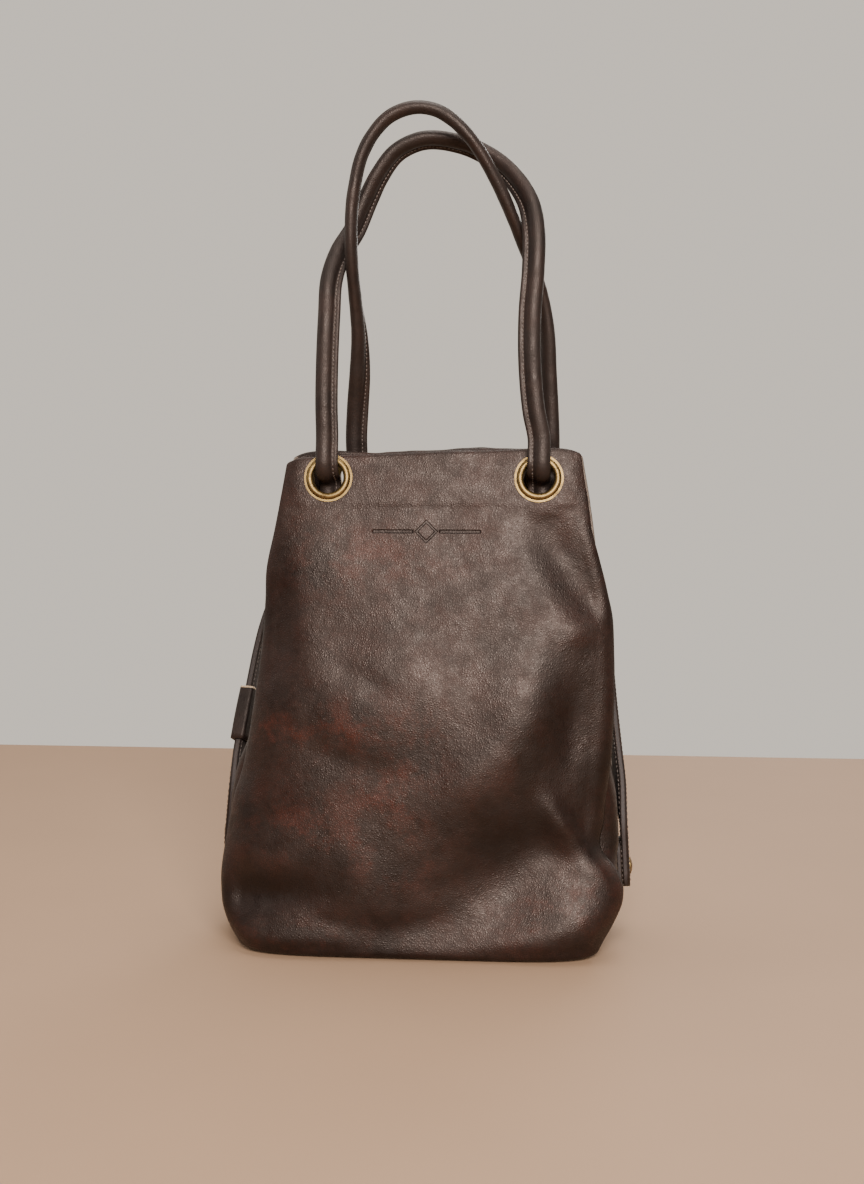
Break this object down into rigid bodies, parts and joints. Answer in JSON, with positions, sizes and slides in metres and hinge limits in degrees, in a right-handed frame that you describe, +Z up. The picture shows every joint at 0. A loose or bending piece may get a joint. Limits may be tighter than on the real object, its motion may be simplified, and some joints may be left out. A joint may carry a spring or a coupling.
{
  "type": "bucket bag",
  "caption": "Tall leather bucket bag with an open narrow mouth, two arched top handles through brass eyelets, and two back straps riveted to the lower sides and a back yoke.",
  "frame": {"origin": "middle of the underside of the base, on the surface the bag stands on", "axes": "+Z up, front panel faces -Y, +X to the viewer's right when looking at the front"},
  "size_m": [0.2599, 0.1276, 0.517],
  "materials": {
    "body_leather": "semi-gloss waxed pull-up",
    "strap_leather": "satin, waxed",
    "antique_brass": "brushed antique",
    "lining_cloth": "matt twill",
    "stiffener": "matt fibreboard"
  },
  "bodies": {
    "bag": {"front_panel": "body_leather", "back_panel": "body_leather", "left_gusset": "body_leather", "right_gusset": "body_leather", "base_panel": "body_leather", "base_board": "stiffener", "mouth_facing": "body_leather", "lining": "lining_cloth", "eyelets": "antique_brass", "eyelet_washers": "antique_brass", "front_left_handle_tail": "strap_leather", "front_right_handle_tail": "strap_leather", "rear_left_handle_tail": "strap_leather", "rear_right_handle_tail": "strap_leather", "handle_end_stops": "strap_leather", "handle_end_rivets": "antique_brass", "back_yoke": "strap_leather", "left_strap_root": "strap_leather", "right_strap_root": "strap_leather", "strap_rivets": "antique_brass", "left_side_patch": "strap_leather", "right_side_patch": "strap_leather", "left_strap_end": "strap_leather", "right_strap_end": "strap_leather"},
    "front_handle": {"front_handle": "strap_leather"},
    "rear_handle": {"rear_handle": "strap_leather"},
    "left_strap": {"left_back_strap": "strap_leather"},
    "right_strap": {"right_back_strap": "strap_leather"},
    "keeper": {"strap_keeper": "strap_leather"}
  },
  "joints": [
    {"name": "front_handle_fold", "type": "hinge", "parent": "bag", "child": "front_handle", "pos_m": [0.009, -0.02856, 0.31111], "axis": [1, 0, 0], "range_deg": [0, 170]},
    {"name": "rear_handle_fold", "type": "hinge", "parent": "bag", "child": "rear_handle", "pos_m": [0.017, 0.02856, 0.31111], "axis": [-1, 0, 0], "range_deg": [0, 130]},
    {"name": "left_strap_swing", "type": "hinge", "parent": "bag", "child": "left_strap", "pos_m": [-0.12119, 0.012, 0.08775], "axis": [0.5107, 0.1451, 0.8474], "range_deg": [0, 20]},
    {"name": "right_strap_swing", "type": "hinge", "parent": "bag", "child": "right_strap", "pos_m": [0.12612, 0.012, 0.06984], "axis": [0.4133, -0.1372, -0.9002], "range_deg": [0, 20]},
    {"name": "keeper_slide", "type": "slide", "parent": "left_strap", "child": "keeper", "axis": [0.1104, 0.4278, 0.8971], "range_m": [-0.01, 0.01]}
  ]
}
